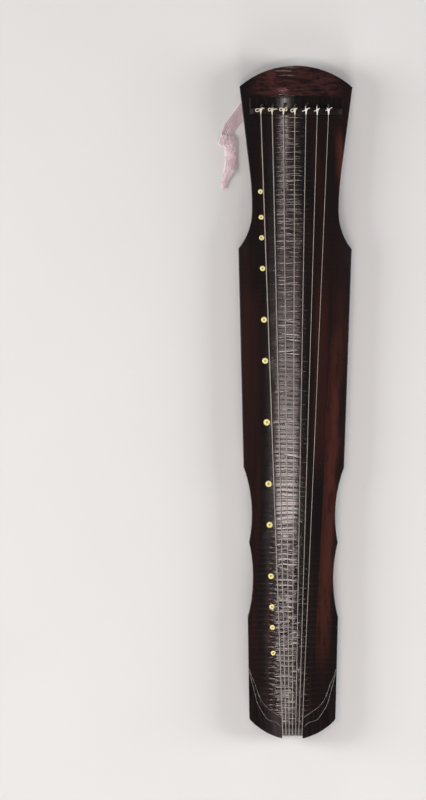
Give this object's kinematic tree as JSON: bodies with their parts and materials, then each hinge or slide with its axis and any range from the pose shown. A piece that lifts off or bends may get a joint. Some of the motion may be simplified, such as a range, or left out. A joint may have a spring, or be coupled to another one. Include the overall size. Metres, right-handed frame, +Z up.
{
  "type": "seven-string zither",
  "caption": "Long lacquered guqin, a fretless silk-string zither with a hollow body, tuning pegs, goose feet, inlaid studs and a silk tassel.",
  "frame": {"origin": "on the surface that the instrument rests on, under the middle of its length and width", "axes": "+X to the head, +Y to the side with the inlaid studs, +Z up through the strings"},
  "size_m": [1.21, 0.245, 0.0906],
  "materials": {
    "lacquer": "gloss lacquer",
    "dark_hardwood": "polished",
    "raw_wood": "unfinished",
    "string_silk": "twisted silk",
    "cord_silk": "twisted silk",
    "tassel_silk": "frayed silk",
    "jade": "polished",
    "gold": "worn"
  },
  "bodies": {
    "instrument": {"top_board": "lacquer", "bottom_board": "lacquer", "lower_tail_nut": "dark_hardwood", "tail_nut": "dark_hardwood", "upper_crown_left": "dark_hardwood", "upper_crown_right": "dark_hardwood", "lower_crown_left": "dark_hardwood", "lower_crown_right": "dark_hardwood", "string_eye_strip": "dark_hardwood", "bridge": "dark_hardwood", "peg_guard_left": "dark_hardwood", "peg_guard_right": "dark_hardwood", "round_hole_rim": "dark_hardwood", "long_hole_rim": "dark_hardwood", "goose_foot_left": "jade", "goose_foot_right": "jade", "heaven_pillar": "raw_wood", "earth_pillar": "raw_wood", "inlaid_studs": "gold", "string_1": "string_silk", "peg_cord_1": "cord_silk", "tassel_cord_1": "cord_silk", "string_2": "string_silk", "peg_cord_2": "cord_silk", "tassel_cord_2": "cord_silk", "string_3": "string_silk", "peg_cord_3": "cord_silk", "tassel_cord_3": "cord_silk", "string_4": "string_silk", "peg_cord_4": "cord_silk", "tassel_cord_4": "cord_silk", "string_5": "string_silk", "peg_cord_5": "cord_silk", "tassel_cord_5": "cord_silk", "string_6": "string_silk", "peg_cord_6": "cord_silk", "tassel_cord_6": "cord_silk", "string_7": "string_silk", "peg_cord_7": "cord_silk", "tassel_cord_7": "cord_silk", "string_knots": "cord_silk", "tassel": "tassel_silk"},
    "peg_1": {"tuning_peg_1": "jade", "peg_winding_1": "cord_silk"},
    "peg_2": {"tuning_peg_2": "jade", "peg_winding_2": "cord_silk"},
    "peg_3": {"tuning_peg_3": "jade", "peg_winding_3": "cord_silk"},
    "peg_4": {"tuning_peg_4": "jade", "peg_winding_4": "cord_silk"},
    "peg_5": {"tuning_peg_5": "jade", "peg_winding_5": "cord_silk"},
    "peg_6": {"tuning_peg_6": "jade", "peg_winding_6": "cord_silk"},
    "peg_7": {"tuning_peg_7": "jade", "peg_winding_7": "cord_silk"}
  },
  "joints": [
    {"name": "peg_1_turn", "type": "hinge", "parent": "instrument", "child": "peg_1", "pos_m": [0.535, 0.057, 0.026], "axis": [0, 0, 1], "continuous": true},
    {"name": "peg_2_turn", "type": "hinge", "parent": "instrument", "child": "peg_2", "pos_m": [0.535, 0.038, 0.026], "axis": [0, 0, 1], "continuous": true},
    {"name": "peg_3_turn", "type": "hinge", "parent": "instrument", "child": "peg_3", "pos_m": [0.535, 0.019, 0.026], "axis": [0, 0, 1], "continuous": true},
    {"name": "peg_4_turn", "type": "hinge", "parent": "instrument", "child": "peg_4", "pos_m": [0.535, 0, 0.026], "axis": [0, 0, 1], "continuous": true},
    {"name": "peg_5_turn", "type": "hinge", "parent": "instrument", "child": "peg_5", "pos_m": [0.535, -0.019, 0.026], "axis": [0, 0, 1], "continuous": true},
    {"name": "peg_6_turn", "type": "hinge", "parent": "instrument", "child": "peg_6", "pos_m": [0.535, -0.038, 0.026], "axis": [0, 0, 1], "continuous": true},
    {"name": "peg_7_turn", "type": "hinge", "parent": "instrument", "child": "peg_7", "pos_m": [0.535, -0.057, 0.026], "axis": [0, 0, 1], "continuous": true}
  ]
}
